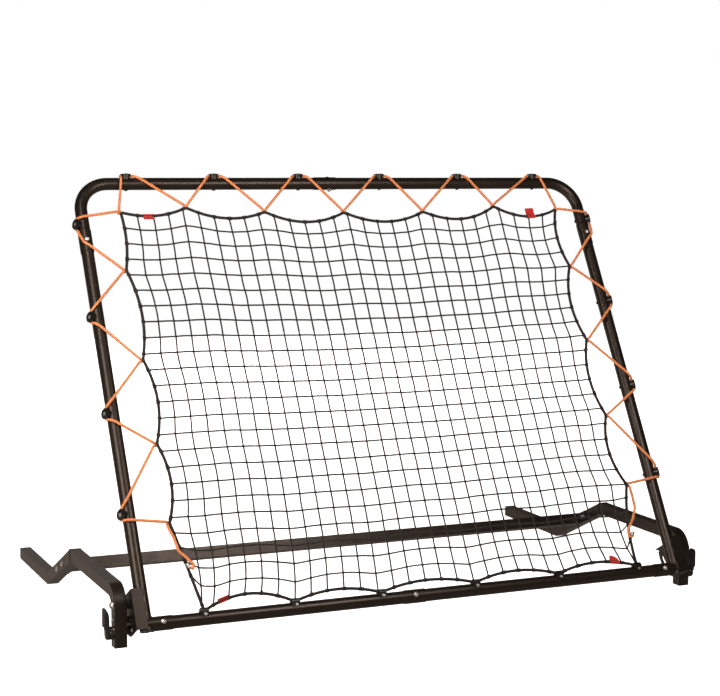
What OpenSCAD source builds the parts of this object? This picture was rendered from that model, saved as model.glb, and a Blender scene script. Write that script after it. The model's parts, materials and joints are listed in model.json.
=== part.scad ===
// Pitch back rebounder: a net in a tube frame that tilts on a square-tube base.
// Millimetres. X is across, Y runs to the back, Z is up, and the ground is at z = 0.

/* [Net frame] */
// Distance between the side tubes, axis to axis
frame_w = 1464; // [1350:1:1600]
// Distance between the bottom and top tubes, axis to axis
frame_h = 1168; // [1110:1:1300]
// Outer diameter of the frame tubes
tube_d = 32; // [30:0.5:34]
// Wall of the frame tubes
tube_wall = 1.5; // [1:0.1:2.5]
// Bend radius of the top corners, on the tube's axis
corner_r = 80; // [60:1:95]

/* [Frame joints] */
// Length of the sockets on the top corner tubes
socket_l = 60; // [50:1:64]
// Length of the socket in the bottom rail
bottom_socket_l = 55; // [45:1:80]
// Length of the stub on the foot of a side tube
stub_l = 49; // [40:1:70]
// Wall of the sockets
socket_wall = 1.2; // [1:0.1:2]
// Gap round a tube in its socket
socket_gap = 0.15; // [0.1:0.05:0.3]
// Length of the cone behind a socket
cone_l = 6; // [3:0.5:8]
// Gap between a tube's end and the bottom of its socket
seat_gap = 5; // [2:0.5:10]
// Distance of the upper joint's mouth below the top tube
upper_joint_drop = 198; // [193:1:250]
// Distance of the top joint's mouth from the middle
top_joint_x = 12; // [0:1:30]
// Distance of the bottom joint's mouth from the middle
bottom_joint_x = 10; // [0:1:40]
// Distance from the upper joint's mouth to its bolt
upper_bolt_in = 32; // [15:1:40]
// Distance from the top joint's mouth to its bolt
top_bolt_in = 21; // [15:1:40]
// Distance from the bottom joint's mouth to its bolt
bottom_bolt_in = 30; // [15:1:40]
// Distance from a stub's mouth to its bolt
stub_bolt_in = 25; // [15:1:30]
// Diameter of the joint bolts
joint_bolt_d = 6; // [5:0.5:8]

/* [Tilt] */
// Lean of the frame, back from upright
lean = 30; // [0:1:80]
// Least lean that the arc slots allow
lean_min = 0; // [0:1:10]
// Greatest lean that the arc slots allow
lean_max = 85; // [80:1:88]
// Height of the pivot over the ground
pivot_z = 100; // [95:1:108]
// Distance of the pivot behind the frame's plane
pivot_back = 19; // [17:0.5:24]
// Height of the pivot over the bottom tube
pivot_up = 59; // [55:1:66]
// Thickness of the tilt bracket's plate
bracket_t = 3; // [2:0.5:4]
// Height of the bracket's bottom edge over the lowest point of its round edge
edge_rise = 4; // [2:0.5:8]
// Reach of the bracket above the bottom tube's axis
bracket_top = 85; // [80:1:95]
// Metal between the clamp's arc slot and the bracket's round edge
slot_rim = 10.6; // [8:0.1:12]
// Room between a side tube and the bracket's flange
hardware_gap = 9; // [8.6:0.1:12]
// Gap between the bracket and the leg
spacer_gap = 7.5; // [5:0.5:12]

/* [Bolts of the base] */
// Diameter of the pivot bolt
pivot_bolt_d = 10; // [8:0.5:12]
// Clearance of the pivot bolt in the bracket, on the radius
pivot_fit = 0.08; // [0.04:0.02:0.1]
// Diameter of the guide bolt
guide_bolt_d = 6; // [5:0.5:7]
// Distance of the guide bolt below the pivot
guide_r = 37; // [34:1:38]
// Diameter of the clamp bolt
clamp_bolt_d = 8; // [7:0.5:9]
// Distance of the clamp bolt below the pivot
clamp_r = 62; // [60:1:63]
// Room on each side of a bolt in its arc slot
slot_room = 0.4; // [0.3:0.1:0.8]
// Gap between faces that slide on each other
run_gap = 0.3; // [0.3:0.05:0.5]
// Thickness of the washers
washer_t = 1.5; // [1:0.1:2]

/* [Legs] */
// Side of the square tube
leg_t = 30; // [28:1:34]
// Wall of the square tube
leg_wall = 1.5; // [1.2:0.1:2.5]
// Bend radius at the top of the post, on the tube's axis
post_bend_r = 40; // [35:1:45]
// Height of the arm's axis
arm_z = 131.5; // [128:0.5:145]
// Distance from the post to the peak
peak_y = 400; // [300:1:460]
// Distance from the post to the rear bend
rear_bend_y = 646; // [620:1:700]
// Distance from the post to the rear end
rear_y = 964; // [880:1:1100]
// Distance of the crossbar from the peak, along the slope
bar_s = 122; // [100:1:150]
// Distance of the crossbar's bolts from its axis
bar_bolt_s = 30; // [28:1:38]
// Length of the plates at the crossbar's ends
bar_plate_l = 90; // [86:1:100]
// Thickness of the plates at the crossbar's ends
bar_plate_t = 3; // [2:0.5:5]
// Diameter of the crossbar's bolts
bar_bolt_d = 8; // [6:0.5:10]
// Thickness of the plastic end caps
cap_t = 3; // [2:0.5:5]
// Depth of an end cap's plug
cap_plug = 15; // [10:1:18]

/* [Clamp levers] */
// Radius of the hub
hub_r = 12; // [10:0.5:13]
// Drop of the hub's lower lobe below the bolt's axis
hub_drop = 7; // [5:0.5:9]
// Length of the hub
hub_l = 17.2; // [16:0.1:20]
// Distance of the lever's tip from the bolt's axis
lever_l = 59; // [54:1:62]
// Gap for the fingers between the hub's face and the lever
finger_gap = 9.7; // [9:0.1:10.5]
// Thickness of the lever
lever_t = 12; // [10:0.5:14]
// Radius of the lever's end
lever_end_r = 11; // [8:0.5:12]
// Clearance of the insert on the bolt, on the radius
insert_fit = 0.08; // [0.04:0.02:0.1]
// Radius of the brass insert
insert_r = 6; // [5.5:0.1:6.5]

/* [Cord buttons] */
// Distance of the outer buttons on the top rail from the side tubes
top_button_in = 129.5; // [120:0.5:200]
// Distance between the buttons on a side
side_button_pitch = 259; // [240:1:275]
// Distance of a side's first button below the top tube
side_button_drop = 122; // [118:1:124]
// Turn of a button towards the front, about its tube
button_turn = 26; // [0:1:35]
// Radius of a button's neck
neck_r = 6; // [5.5:0.1:6.2]
// Length of a button's neck
neck_h = 7.5; // [7.4:0.1:12]
// Radius of the half skirt at the front of the neck
skirt_r = 11; // [9:0.1:11.2]
// Radius of a button's head
head_r = 14; // [12:0.5:18]
// Thickness of a button's head
head_t = 4; // [3.5:0.5:7]
// Rise of a head's dome
dome_h = 2; // [1:0.1:2.5]

/* [Net and cords] */
// Diameter of the bungee cord
bungee_d = 7; // [5:0.5:7]
// Diameter of the border rope
rope_d = 6; // [5:0.5:6.5]
// Thickness of a strand of the net
strand_t = 3; // [2:0.5:4]
// Distance of the net in front of the frame's plane
net_front = 11; // [10:0.5:12]

/* [Hidden] */
$fn = 64;

// Colours
coat = "#2a2421";
plastic = "#1b1a1a";
steel = "#b9bcc0";
brass = "#b08d45";
orange = "#e08a52";
red = "#c43a2c";

// Clearances that every fastener shares
hole_room = 0.3;
thread_room = 0.05;
thread_past_nut = 1.2;
cut = 1;

// Net frame
side_x = frame_w / 2;
tube_r = tube_d / 2;
bore_r = tube_r - tube_wall;
socket_bore_r = tube_r + socket_gap;
socket_r = socket_bore_r + socket_wall;
bend_x = side_x - corner_r;
bend_z = frame_h - corner_r;
upper_joint_z = frame_h - upper_joint_drop;
side_top_z = upper_joint_z + socket_l - seat_gap;
stub_mouth_x = side_x - tube_r - stub_l;
rail_end_x = side_x - tube_r - 4;
floor_t = 3;
top_bolt_x = top_joint_x + top_bolt_in;
bottom_bolt_x = bottom_joint_x + bottom_bolt_in;

// Bracket: the radius of its round edge about the pivot, and its reach below the bottom tube
quadrant_r = clamp_r + clamp_bolt_d / 2 + slot_room + slot_rim;
bracket_low = quadrant_r - edge_rise - pivot_up;

// Stack of the pivot and clamp, from the side tube outwards
flange_x = side_x + tube_r + hardware_gap;
leg_x = flange_x + bracket_t + spacer_gap;
leg_out_x = leg_x + leg_t;
spacer_x = flange_x + bracket_t + run_gap;
washer_x = flange_x - run_gap - washer_t;
clamp_head_h = 4.5;
clamp_head_r = 7.5;
lever_x = leg_out_x + washer_t + run_gap;
clamp_end_x = lever_x + hub_l - 3.5;
pivot_nut_h = 6.8;
guide_nut_h = 5;
bar_nut_h = 6.5;
washer_r = 9;
pivot_spacer_r = 11;
guide_spacer_r = 8;
clamp_spacer_r = 10;

// The origin is midway between the bracket's lowest front corner and the rear caps
front_reach = (pivot_back + tube_r + bracket_t) * cos(lean) + (pivot_up + bracket_low) * sin(lean);
rear_reach = rear_y + cap_t;
pivot_y = (front_reach - rear_reach) / 2;

// Legs
slope = atan2(arm_z - leg_t / 2, rear_bend_y - peak_y);
post_top_z = arm_z - post_bend_r;
plug_room = 0.2;
plug_wall = 2;
bar_end_x = leg_x - bar_plate_t;

// Cord buttons
screw_d = 5;
screw_head_r = 5;
screw_head_h = 2.5;
button_nut_h = 2.2;
button_thread_past = 0.4;
saddle_gap = 0.05;
skirt_back = 1;
top_button_pitch = (frame_w - 2 * top_button_in) / 5;
top_button_xs = [for (i = [0:2]) (i + 0.5) * top_button_pitch];
side_button_zs = [for (i = [0:3]) frame_h - side_button_drop - i * side_button_pitch];

function from_left(d) = -side_x + d;
function from_right(d) = side_x - d;
function from_top(d) = frame_h - d;
function lerp(a, b, t) = a * (1 - t) + b * t;
function unit(v) = v / norm(v);
function flat(lists) = [for (l = lists) for (p = l) p];

// Net: the points where its edge is held, in x and z, and how far it sags between them.
// A point lies near the middle of two buttons, or over a button of the top rail.
rest_room = 0.4;
tie_z = sqrt(pow(tube_r + rope_d / 2 + rest_room, 2) - pow(net_front, 2));
function top_button_x(k) = (k - 2.5) * top_button_pitch;
function side_button_z(k) = side_button_zs[0] - k * side_button_pitch;
top_hooks = [
  [from_left(100), from_top(89)], [top_button_x(0.5) + 28, from_top(77)],
  [top_button_x(1.5) + 4, from_top(91.5)], [top_button_x(2.5) - 9, from_top(95)],
  [top_button_x(3.5) - 12, from_top(95)], [top_button_x(4.5) - 29, from_top(80)],
  [from_right(82), from_top(92)],
];
tie_offsets = [13.5, 3.5, -7.5, 12.5, 13.5, 8.5];
tie_xs = [for (k = [0:5]) top_button_x(k) + tie_offsets[k]];
bottom_ties = [for (x = tie_xs) [x, tie_z]];
left_hooks = [[from_left(94), side_button_z(3) - 30], [from_left(95), side_button_z(2.5) + 43.5],
  [from_left(95), side_button_z(1.5) + 8.5], [from_left(90), side_button_z(0.5) - 2.5]];
right_hooks = [[from_right(87), side_button_z(3) - 29], [from_right(94), side_button_z(2.5) + 43.5],
  [from_right(92), side_button_z(1.5) + 10.5], [from_right(84), side_button_z(0.5) - 20.5]];
top_sags = [17, 25, 29.5, 29.5, 31, 27];
bottom_sags = [31, 19.5, 19.5, 20, 20];
left_sags = [1, 20.5, 20.5, 19.5, 8];
right_sags = [11, 24.5, 22.7, 24, 17];
cols = 18;
rows = 15;
strand_half = strand_t / 2;

// Points of one edge of the net, with cells[k] cells from hook k to the next
function edge(hooks, cells, sags, inward) = concat(
  [for (k = [0:len(cells) - 1]) for (i = [0:cells[k] - 1]) let (t = i / cells[k])
    lerp(hooks[k], hooks[k + 1], t) + inward * sags[k] * 4 * t * (1 - t)],
  [hooks[len(cells)]]);
bottom_edge = edge(bottom_ties, [3, 4, 4, 4, 3], bottom_sags, [0, 1]);
top_edge = edge(top_hooks, [3, 3, 3, 3, 3, 3], top_sags, [0, -1]);
left_edge = edge(concat([bottom_ties[0]], left_hooks, [top_hooks[0]]), [3, 3, 3, 3, 3], left_sags, [1, 0]);
right_edge = edge(concat([bottom_ties[5]], right_hooks, [top_hooks[6]]), [3, 3, 3, 3, 3], right_sags, [-1, 0]);

// How far an edge's point lies from the straight line between the edge's ends
function stray(points, i) = points[i] - lerp(points[0], points[len(points) - 1], i / (len(points) - 1));
// The edges' shape fades towards the middle of the net
net_grid = [for (i = [0:cols]) [for (j = [0:rows]) let (u = i / cols, v = j / rows)
  lerp(lerp(bottom_edge[0], bottom_edge[cols], u), lerp(top_edge[0], top_edge[cols], u), v)
    + pow(1 - v, 3) * stray(bottom_edge, i) + pow(v, 3) * stray(top_edge, i)
    + pow(1 - u, 3) * stray(left_edge, j) + pow(u, 3) * stray(right_edge, j)]];
net_border = concat(
  [for (i = [0:cols - 1]) bottom_edge[i]], [for (j = [0:rows - 1]) right_edge[j]],
  [for (i = [cols:-1:1]) top_edge[i]], [for (j = [rows:-1:1]) left_edge[j]]);

// Bungee cord: its way round a button, as along the tube, to the back, and out from the axis.
// Behind the neck it lies on the tube's crest, and in front it follows the strand to its hook.
behind_neck = [7, 1.5, tube_r + 4.15];
grip = 15;
over_tube = [[-9, tube_r + 2.5], [-18.5, tube_r - 6.2], [-20.3, -2.5]];
// Its way outside the head of an upper joint's bolt, as along, to the back, and out
past_bolt = [[20, -9.6, tube_r + 3.7], [54, -19.7, tube_r - 5.6], [65, -21.6, -2.7]];
hook_in = 5;
tail_front = 20;
// The tails, in x from the nearer side tube and z, from the cord's end to the last hook
left_tail = [for (p = [[117, 133], [122, 123], [131, 118], [134, 129], [121, 144], [102, 165], [92, 205]])
  [from_left(p.x), -tail_front, p.y]];
right_tail = [for (p = [[80, 205], [85, 172], [102, 140], [124, 115], [127, 94], [119, 92], [111, 106]])
  [from_right(p.x), -tail_front, p.y]];
clip_l = 12;
clip_wall = 1.6;

// One side of the way, from behind the neck towards the hook p, or past a bolt
function half_wrap(side, along, out, p, bolt) =
  let (slant = (p * along - side * grip) / (over_tube[0].y - p * out)) concat(
    [[side * behind_neck.x, behind_neck.y, behind_neck.z]],
    side == bolt ? [for (w = past_bolt) [side * w[0], w[1], w[2]]]
      : [for (w = over_tube) [side * grip + slant * (over_tube[0].y - w.y), w.x, w.y]]);
// The way round the button at (x, z), between two hooks, with a bolt on side -1, 1 or none
function around(x, z, along, out, before, after, bolt = 0) =
  let (a = half_wrap(-1, along, out, before - [x, z], bolt), b = half_wrap(1, along, out, after - [x, z], bolt))
  [for (w = concat([for (i = [len(a) - 1:-1:0]) a[i]], b))
    [x, 0, z] + w[0] * [along.x, 0, along.y] + w[1] * [0, 1, 0] + w[2] * [out.x, 0, out.y]];
function hook(p, inward) = [[p.x + inward.x * hook_in, -net_front, p.y + inward.y * hook_in]];
cord_route = concat(
  left_tail,
  flat([for (k = [0:3]) concat(hook(left_hooks[k], [1, 0]),
    around(-side_x, side_button_zs[3 - k], [0, 1], [-1, 0],
      left_hooks[k], k == 3 ? top_hooks[0] : left_hooks[k + 1], k == 3 ? -1 : 0))]),
  flat([for (k = [0:5]) concat(hook(top_hooks[k], k == 0 ? [0.7, -0.7] : [0, -1]),
    around(top_button_x(k), frame_h, [1, 0], [0, 1], top_hooks[k], top_hooks[k + 1]))]),
  hook(top_hooks[6], [-0.7, -0.7]),
  flat([for (k = [0:3]) concat(
    around(side_x, side_button_zs[k], [0, -1], [1, 0],
      k == 0 ? top_hooks[6] : right_hooks[4 - k], right_hooks[3 - k], k == 0 ? 1 : 0),
    hook(right_hooks[3 - k], [-1, 0]))]),
  right_tail);

// Sum of the straight lengths of a route
function route_length(p) = len(p) < 2 ? 0 : [for (i = [0:len(p) - 2]) norm(p[i + 1] - p[i])]
  * [for (i = [0:len(p) - 2]) 1];
echo(bungee_cord_length = route_length(cord_route));
echo(border_rope_length = route_length([for (p = concat(net_border, [net_border[0]])) [p.x, 0, p.y]]));

// ---- Sweeps -------------------------------------------------------------------

sweep_sides = 8;

// Direction of a route at each of its points
function headings(p) = [for (i = [0:len(p) - 1])
  unit(unit(p[min(i + 1, len(p) - 1)] - p[min(i, len(p) - 2)])
    + unit(p[max(i, 1)] - p[max(i - 1, 0)]))];
// A side direction at each point, turned as little as possible from one to the next
function side_dirs(t, i, s) = i >= len(t) ? [] :
  let (n = unit(s - t[i] * (s * t[i]))) concat([n], side_dirs(t, i + 1, n));

// A tube of radius r along an open route
module sweep(route, r) {
  t = headings(route);
  s = side_dirs(t, 0, [0, 1, 0]);
  n = sweep_sides;
  last = len(route) - 1;
  points = [for (i = [0:last]) for (k = [0:n - 1])
    route[i] + r * (cos(k * 360 / n) * s[i] + sin(k * 360 / n) * cross(t[i], s[i]))];
  walls = [for (i = [0:last - 1]) for (k = [0:n - 1])
    let (a = i * n + k, b = i * n + (k + 1) % n) each [[a, a + n, b + n], [a, b + n, b]]];
  caps = [for (k = [1:n - 2]) each [[0, k, k + 1], [last * n, last * n + k + 1, last * n + k]]];
  polyhedron(points, concat(walls, caps));
}

// A tube of radius r round a closed, flat route of x and z points, at depth y
module sweep_ring(loop, y, r) {
  n = sweep_sides;
  count = len(loop);
  points = [for (i = [0:count - 1])
    let (t = unit(loop[(i + 1) % count] - loop[(i + count - 1) % count]))
    for (k = [0:n - 1])
      [loop[i].x - t.y * r * cos(k * 360 / n), y + r * sin(k * 360 / n), loop[i].y + t.x * r * cos(k * 360 / n)]];
  walls = [for (i = [0:count - 1]) for (k = [0:n - 1])
    let (a = i * n + k, b = i * n + (k + 1) % n, c = ((i + 1) % count) * n + k,
      d = ((i + 1) % count) * n + (k + 1) % n)
    each [[a, d, c], [a, b, d]]];
  polyhedron(points, walls);
}

// ---- Places -------------------------------------------------------------------

// The frame's own axes: x across, y to the back, z up the frame from the bottom tube
module on_frame() {
  translate([0, pivot_y, pivot_z]) rotate([-lean, 0, 0]) translate([0, -pivot_back, -pivot_up]) children();
}

// A point of the post's front-to-back middle, drop below the pivot
module on_post(drop) {
  translate([0, pivot_y, pivot_z - drop]) children();
}

// The crossbar's axes: x across, y down the slope
module on_slope() {
  translate([0, pivot_y + peak_y, arm_z]) rotate([-slope, 0, 0]) translate([0, bar_s, 0]) children();
}

module left() {
  mirror([1, 0, 0]) children();
}

module both() {
  children();
  mirror([1, 0, 0]) children();
}

// Turns z to point along x, or to the back
module along_x(x) {
  translate([x, 0, 0]) rotate([0, 90, 0]) children();
}

module along_y(y) {
  translate([0, y, 0]) rotate([-90, 0, 0]) children();
}

// Extrudes a shape of y and z along x
module side_plate(x, t) {
  translate([x, 0, 0]) rotate([90, 0, 90]) linear_extrude(t) children();
}

// ---- Fasteners ----------------------------------------------------------------

// Bolt with a domed head under z = 0, a hex recess in it, and its shank up to z = l
module dome_bolt(d, l, head_d, head_h) {
  rise = head_h * 0.7;
  ball_r = (pow(head_d / 2, 2) + pow(rise, 2)) / (2 * rise);
  difference() {
    union() {
      cylinder(d = d, h = l);
      intersection() {
        translate([0, 0, -head_h]) cylinder(d = head_d, h = head_h);
        translate([0, 0, ball_r - head_h]) sphere(r = ball_r);
      }
    }
    translate([0, 0, -head_h - cut]) cylinder(d = d * 0.75, h = head_h * 0.6 + cut, $fn = 6);
  }
}

module nut(d, width, h) {
  difference() {
    cylinder(d = width / cos(30), h = h, $fn = 6);
    translate([0, 0, -cut]) cylinder(r = d / 2 + thread_room, h = h + 2 * cut);
  }
}

module ring(outer_r, inner_r, h) {
  difference() {
    cylinder(r = outer_r, h = h);
    translate([0, 0, -cut]) cylinder(r = inner_r, h = h + 2 * cut);
  }
}

// ---- Base ---------------------------------------------------------------------

// Side view of a leg's tube, half wide on each side of its axis, with its ends longer by past
arc_steps = 16;
function bend_arc(r) = [for (i = [0:arc_steps]) let (a = 180 - 90 * i / arc_steps)
  [post_bend_r + r * cos(a), post_top_z + r * sin(a)]];
// One side of the tube, from the foot to the rear end
function leg_side(half, past) = concat(
  [[-half, cap_t - past]], bend_arc(post_bend_r + half),
  [[peak_y + half * tan(slope / 2), arm_z + half],
  [rear_bend_y + half * tan(slope / 2), leg_t / 2 + half], [rear_y + past, leg_t / 2 + half]]);

module leg_shape(half, past) {
  lower = leg_side(-half, past);
  polygon(concat(leg_side(half, past), [for (i = [len(lower) - 1:-1:0]) lower[i]]));
}

module leg() {
  color(coat) difference() {
    translate([0, pivot_y, 0]) side_plate(leg_x, leg_t) leg_shape(leg_t / 2, 0);
    translate([0, pivot_y, 0]) side_plate(leg_x + leg_wall, leg_t - 2 * leg_wall)
      leg_shape(leg_t / 2 - leg_wall, cut);
    on_post(0) along_x(leg_x - cut) cylinder(d = pivot_bolt_d + hole_room, h = leg_t + 2 * cut);
    on_post(guide_r) along_x(leg_x - cut) cylinder(d = guide_bolt_d + hole_room, h = leg_t + 2 * cut);
    on_post(clamp_r) along_x(leg_x - cut) cylinder(d = clamp_bolt_d + hole_room, h = leg_t + 2 * cut);
    on_slope() for (s = [-1, 1]) translate([0, s * bar_bolt_s, 0]) along_x(leg_x - cut)
      cylinder(d = bar_bolt_d + hole_room, h = leg_t + 2 * cut);
  }
}

module left_leg() {
  left() leg();
}

module right_leg() {
  leg();
}

module rear_crossbar() {
  color(coat) on_slope() difference() {
    union() {
      cube([2 * bar_end_x, leg_t, leg_t], center = true);
      both() translate([bar_end_x, -bar_plate_l / 2, -leg_t / 2]) cube([bar_plate_t, bar_plate_l, leg_t]);
    }
    cube([2 * bar_end_x, leg_t - 2 * leg_wall, leg_t - 2 * leg_wall], center = true);
    both() for (s = [-1, 1]) translate([0, s * bar_bolt_s, 0]) along_x(bar_end_x - cut)
      cylinder(d = bar_bolt_d + hole_room, h = bar_plate_t + 2 * cut);
  }
}

module crossbar_bolts() {
  reach = leg_out_x - bar_end_x + bar_nut_h + thread_past_nut;
  color(steel) on_slope() both() for (s = [-1, 1]) translate([leg_out_x, s * bar_bolt_s, 0]) rotate([0, -90, 0])
    dome_bolt(bar_bolt_d, reach, bar_bolt_d * 1.9, 4.5);
}

module crossbar_nuts() {
  color(steel) on_slope() both() for (s = [-1, 1]) translate([0, s * bar_bolt_s, 0]) along_x(bar_end_x - bar_nut_h)
    nut(bar_bolt_d, 13, bar_nut_h);
}

// End cap with its outer face at z = 0 and its hollow plug above
module end_cap() {
  plug = leg_t - 2 * leg_wall - 2 * plug_room;
  color(plastic) difference() {
    union() {
      translate([-leg_t / 2, -leg_t / 2, 0]) cube([leg_t, leg_t, cap_t]);
      translate([-plug / 2, -plug / 2, 0]) cube([plug, plug, cap_t + cap_plug]);
    }
    translate([plug_wall - plug / 2, plug_wall - plug / 2, cap_t])
      cube([plug - 2 * plug_wall, plug - 2 * plug_wall, cap_plug + cut]);
  }
}

module foot_cap() {
  translate([leg_x + leg_t / 2, pivot_y, 0]) end_cap();
}

module rear_cap() {
  translate([leg_x + leg_t / 2, pivot_y + rear_y + cap_t, leg_t / 2]) rotate([90, 0, 0]) end_cap();
}

module left_foot_cap() {
  left() foot_cap();
}

module right_foot_cap() {
  foot_cap();
}

module left_rear_cap() {
  left() rear_cap();
}

module right_rear_cap() {
  rear_cap();
}

// ---- Pivot, guide and clamp ---------------------------------------------------

module pivot_bolt() {
  reach = leg_out_x - washer_x + pivot_nut_h + thread_past_nut;
  color(steel) on_post(0) translate([leg_out_x, 0, 0]) rotate([0, -90, 0])
    dome_bolt(pivot_bolt_d, reach, pivot_bolt_d * 1.9, 8.5);
}

module left_pivot_bolt() {
  left() pivot_bolt();
}

module right_pivot_bolt() {
  pivot_bolt();
}

module pivot_washers() {
  color(steel) both() on_post(0) along_x(washer_x) ring(washer_r + 1, pivot_bolt_d / 2 + thread_room, washer_t);
}

module pivot_nuts() {
  color(steel) both() on_post(0) along_x(washer_x - pivot_nut_h) nut(pivot_bolt_d, 16, pivot_nut_h);
}

// Spacer between the bracket and the post, seated on the post
module spacer(drop, r, d) {
  color(plastic) both() on_post(drop) along_x(spacer_x) ring(r, d / 2 + thread_room, leg_x - spacer_x);
}

module pivot_spacers() {
  spacer(0, pivot_spacer_r, pivot_bolt_d);
}

module guide_spacers() {
  spacer(guide_r, guide_spacer_r, guide_bolt_d);
}

module clamp_spacers() {
  spacer(clamp_r, clamp_spacer_r, clamp_bolt_d);
}

module guide_bolts() {
  reach = leg_out_x - washer_x + guide_nut_h + thread_past_nut;
  color(steel) both() on_post(guide_r) translate([leg_out_x, 0, 0]) rotate([0, -90, 0])
    dome_bolt(guide_bolt_d, reach, guide_bolt_d * 2, 4);
}

module guide_washers() {
  color(steel) both() on_post(guide_r) along_x(washer_x) ring(7, guide_bolt_d / 2 + thread_room, washer_t);
}

module guide_nuts() {
  color(steel) both() on_post(guide_r) along_x(washer_x - guide_nut_h) nut(guide_bolt_d, 10, guide_nut_h);
}

// Clamp bolt: its head is inside the bracket, and its end is in the lever
module clamp_bolt() {
  color(steel) on_post(clamp_r) {
    along_x(washer_x - clamp_head_h) cylinder(r = clamp_head_r, h = clamp_head_h, $fn = 6);
    along_x(washer_x) cylinder(d = clamp_bolt_d, h = clamp_end_x - washer_x);
  }
}

module left_clamp_bolt() {
  left() clamp_bolt();
}

module right_clamp_bolt() {
  clamp_bolt();
}

module clamp_washers() {
  color(steel) both() on_post(clamp_r) along_x(washer_x)
    ring(washer_r, clamp_bolt_d / 2 + thread_room, washer_t);
}

module thrust_washers() {
  color(steel) both() on_post(clamp_r) along_x(leg_out_x)
    ring(clamp_spacer_r, clamp_bolt_d / 2 + thread_room, washer_t);
}

// Sleeves round the bolts, inside the posts
module post_sleeves() {
  color(steel) both() for (b = [[0, pivot_bolt_d], [guide_r, guide_bolt_d], [clamp_r, clamp_bolt_d]])
    on_post(b[0]) along_x(leg_x + leg_wall)
      ring(b[1] / 2 + 3, b[1] / 2 + hole_room / 2, leg_t - 2 * leg_wall);
}

// ---- Clamp levers -------------------------------------------------------------

// Lever with its bolt's axis on x and its hub's inner face at x = 0
hub_chamfer = 3;
lever_out = finger_gap + lever_t;
lever_edge = 2;
lever_outline = [
  [finger_gap, 0], [hub_l, 0], [hub_l, 7], [lever_out, 12], [lever_out, lever_l - 4],
  [lever_out - 3, lever_l], [lever_out - 8, lever_l - 8], [lever_out - 11, lever_l - 16],
  [finger_gap, lever_l - 24],
];
screw_l = hub_r - insert_r - 1.4;
screw_x = 6.7;

module hub_lobe() {
  along_x(0) cylinder(r = hub_r, h = hub_l - hub_chamfer);
  along_x(hub_l - hub_chamfer) cylinder(r1 = hub_r, r2 = hub_r - hub_chamfer, h = hub_chamfer);
}

module clamp_lever() {
  color(plastic) on_post(clamp_r) translate([lever_x, 0, 0]) difference() {
    union() {
      hub_lobe();
      translate([0, 0, -hub_drop]) {
        hub_lobe();
        linear_extrude(hub_drop) polygon([
          [0, -hub_r], [hub_l - hub_chamfer, -hub_r], [hub_l, hub_chamfer - hub_r],
          [hub_l, hub_r - hub_chamfer], [hub_l - hub_chamfer, hub_r], [0, hub_r],
        ]);
      }
      intersection() {
        translate([0, hub_r, 0]) rotate([90, 0, 0]) linear_extrude(2 * hub_r)
          offset(r = lever_edge) offset(delta = -lever_edge) polygon(lever_outline);
        side_plate(-cut, lever_out + 2 * cut) hull() {
          circle(r = hub_r);
          translate([0, lever_l - lever_end_r]) circle(r = lever_end_r);
        }
      }
    }
    along_x(-cut) cylinder(r = insert_r + thread_room, h = insert_l + cut);
    along_x(0) cylinder(r = clamp_bolt_d / 2 + run_gap, h = clamp_end_x - lever_x + 0.5);
    translate([screw_x, 0, 0]) along_y(-hub_r - cut) cylinder(r = 2 + thread_room, h = hub_r);
  }
}

insert_l = hub_l - 4.5;

module left_clamp_lever() {
  left() clamp_lever();
}

module right_clamp_lever() {
  clamp_lever();
}

module lever_insert() {
  color(brass) on_post(clamp_r) along_x(lever_x) ring(insert_r, clamp_bolt_d / 2 + insert_fit, insert_l);
}

module left_lever_insert() {
  left() lever_insert();
}

module right_lever_insert() {
  lever_insert();
}

module lever_screw() {
  color(steel) on_post(clamp_r) translate([lever_x + screw_x, 0, 0])
    along_y(-insert_r - thread_room - screw_l) cylinder(r = 2, h = screw_l);
}

module left_lever_screw() {
  left() lever_screw();
}

module right_lever_screw() {
  lever_screw();
}

// ---- Net frame ----------------------------------------------------------------

// Tube along z to z = l, whose first s is a socket
module socketed_tube(l, s) {
  rotate_extrude() polygon([
    [socket_bore_r, 0], [socket_r, 0], [socket_r, s], [tube_r, s + cone_l], [tube_r, l],
    [bore_r, l], [bore_r, s + cone_l], [socket_bore_r, s],
  ]);
}

// Round hole across a tube, along y or z
module cross_hole(d, turn) {
  rotate(turn) cylinder(d = d + hole_room, h = 2 * socket_r + 2 * cut, center = true);
}

// Right top corner, with the top rail's end at run_end and the joint's bolt at bolt_x
module top_corner(run_end, bolt_x, socketed) {
  color(coat) on_frame() difference() {
    union() {
      translate([side_x, 0, upper_joint_z]) socketed_tube(bend_z - upper_joint_z, socket_l);
      translate([bend_x, 0, bend_z]) rotate([90, 0, 0]) rotate_extrude(angle = 90) translate([corner_r, 0])
        difference() {
          circle(r = tube_r);
          circle(r = bore_r);
        }
      translate([0, 0, frame_h]) along_x(run_end) {
        if (socketed) socketed_tube(bend_x - run_end, socket_l);
        else ring(tube_r, bore_r, bend_x - run_end);
      }
    }
    translate([side_x, 0, upper_joint_z + upper_bolt_in]) cross_hole(joint_bolt_d, [90, 0, 0]);
    translate([bolt_x, 0, frame_h]) cross_hole(joint_bolt_d, [0, 0, 0]);
    for (x = top_button_xs) translate([x, 0, frame_h]) cross_hole(screw_d, [button_turn, 0, 0]);
    translate([side_x, 0, side_button_zs[0]]) cross_hole(screw_d, [0, 90, -button_turn]);
  }
}

module left_top_corner() {
  left() top_corner(top_joint_x, top_bolt_x, true);
}

module right_top_corner() {
  top_corner(-top_joint_x - socket_l + seat_gap, -top_bolt_x, false);
}

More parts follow.
